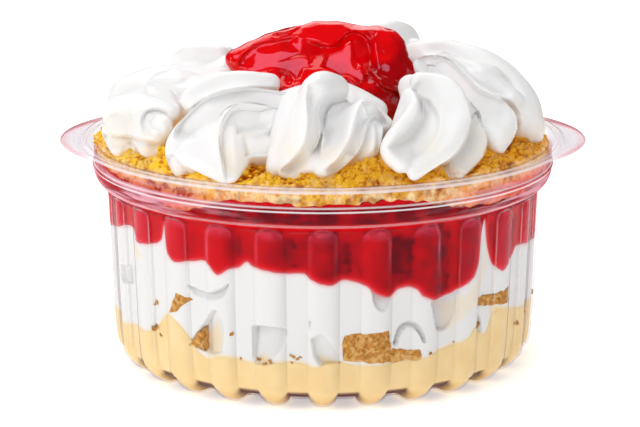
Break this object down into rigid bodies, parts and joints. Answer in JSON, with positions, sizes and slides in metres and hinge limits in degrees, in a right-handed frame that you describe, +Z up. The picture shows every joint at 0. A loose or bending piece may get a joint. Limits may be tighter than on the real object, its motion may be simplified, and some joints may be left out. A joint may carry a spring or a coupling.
{
  "type": "layered milk cake dessert in a clear fluted cup",
  "caption": "Layered milk cake with custard, cream, red fruit and sponge in a clear fluted cup with two pull tabs, topped by piped cream swirls and red jam.",
  "frame": {"origin": "middle of the cup's flat base, on the surface that it stands on", "axes": "+Z up; front, as seen in the picture, towards -Y; the two pull tabs along -X and +X"},
  "size_m": [0.1248, 0.1156, 0.0814],
  "materials": {
    "clear_cup": "clear, thin and glossy",
    "custard": "smooth, satin",
    "cream": "smooth, soft",
    "fruit": "glossy, a little translucent",
    "crumb": "crumbly",
    "sponge": "crumbly",
    "jam": "wet, glossy"
  },
  "bodies": {
    "root": {"cup": "clear_cup", "custard": "custard", "cream_layer": "cream", "sponge_chunk_front": "crumb", "sponge_chunk_front_low": "crumb", "sponge_chunk_left": "crumb", "sponge_chunk_left_high": "crumb", "sponge_chunk_right": "crumb", "sponge_chunk_back": "crumb", "sponge_chunk_back_left": "crumb", "fruit_layer": "fruit", "top_sponge": "sponge", "jam": "jam", "cream_swirl_front": "cream", "cream_swirl_front_left": "cream", "cream_swirl_front_right": "cream", "cream_swirl_right": "cream", "cream_swirl_left": "cream", "cream_swirl_back_left": "cream", "cream_swirl_back": "cream", "cream_swirl_back_right": "cream"}
  },
  "joints": []
}
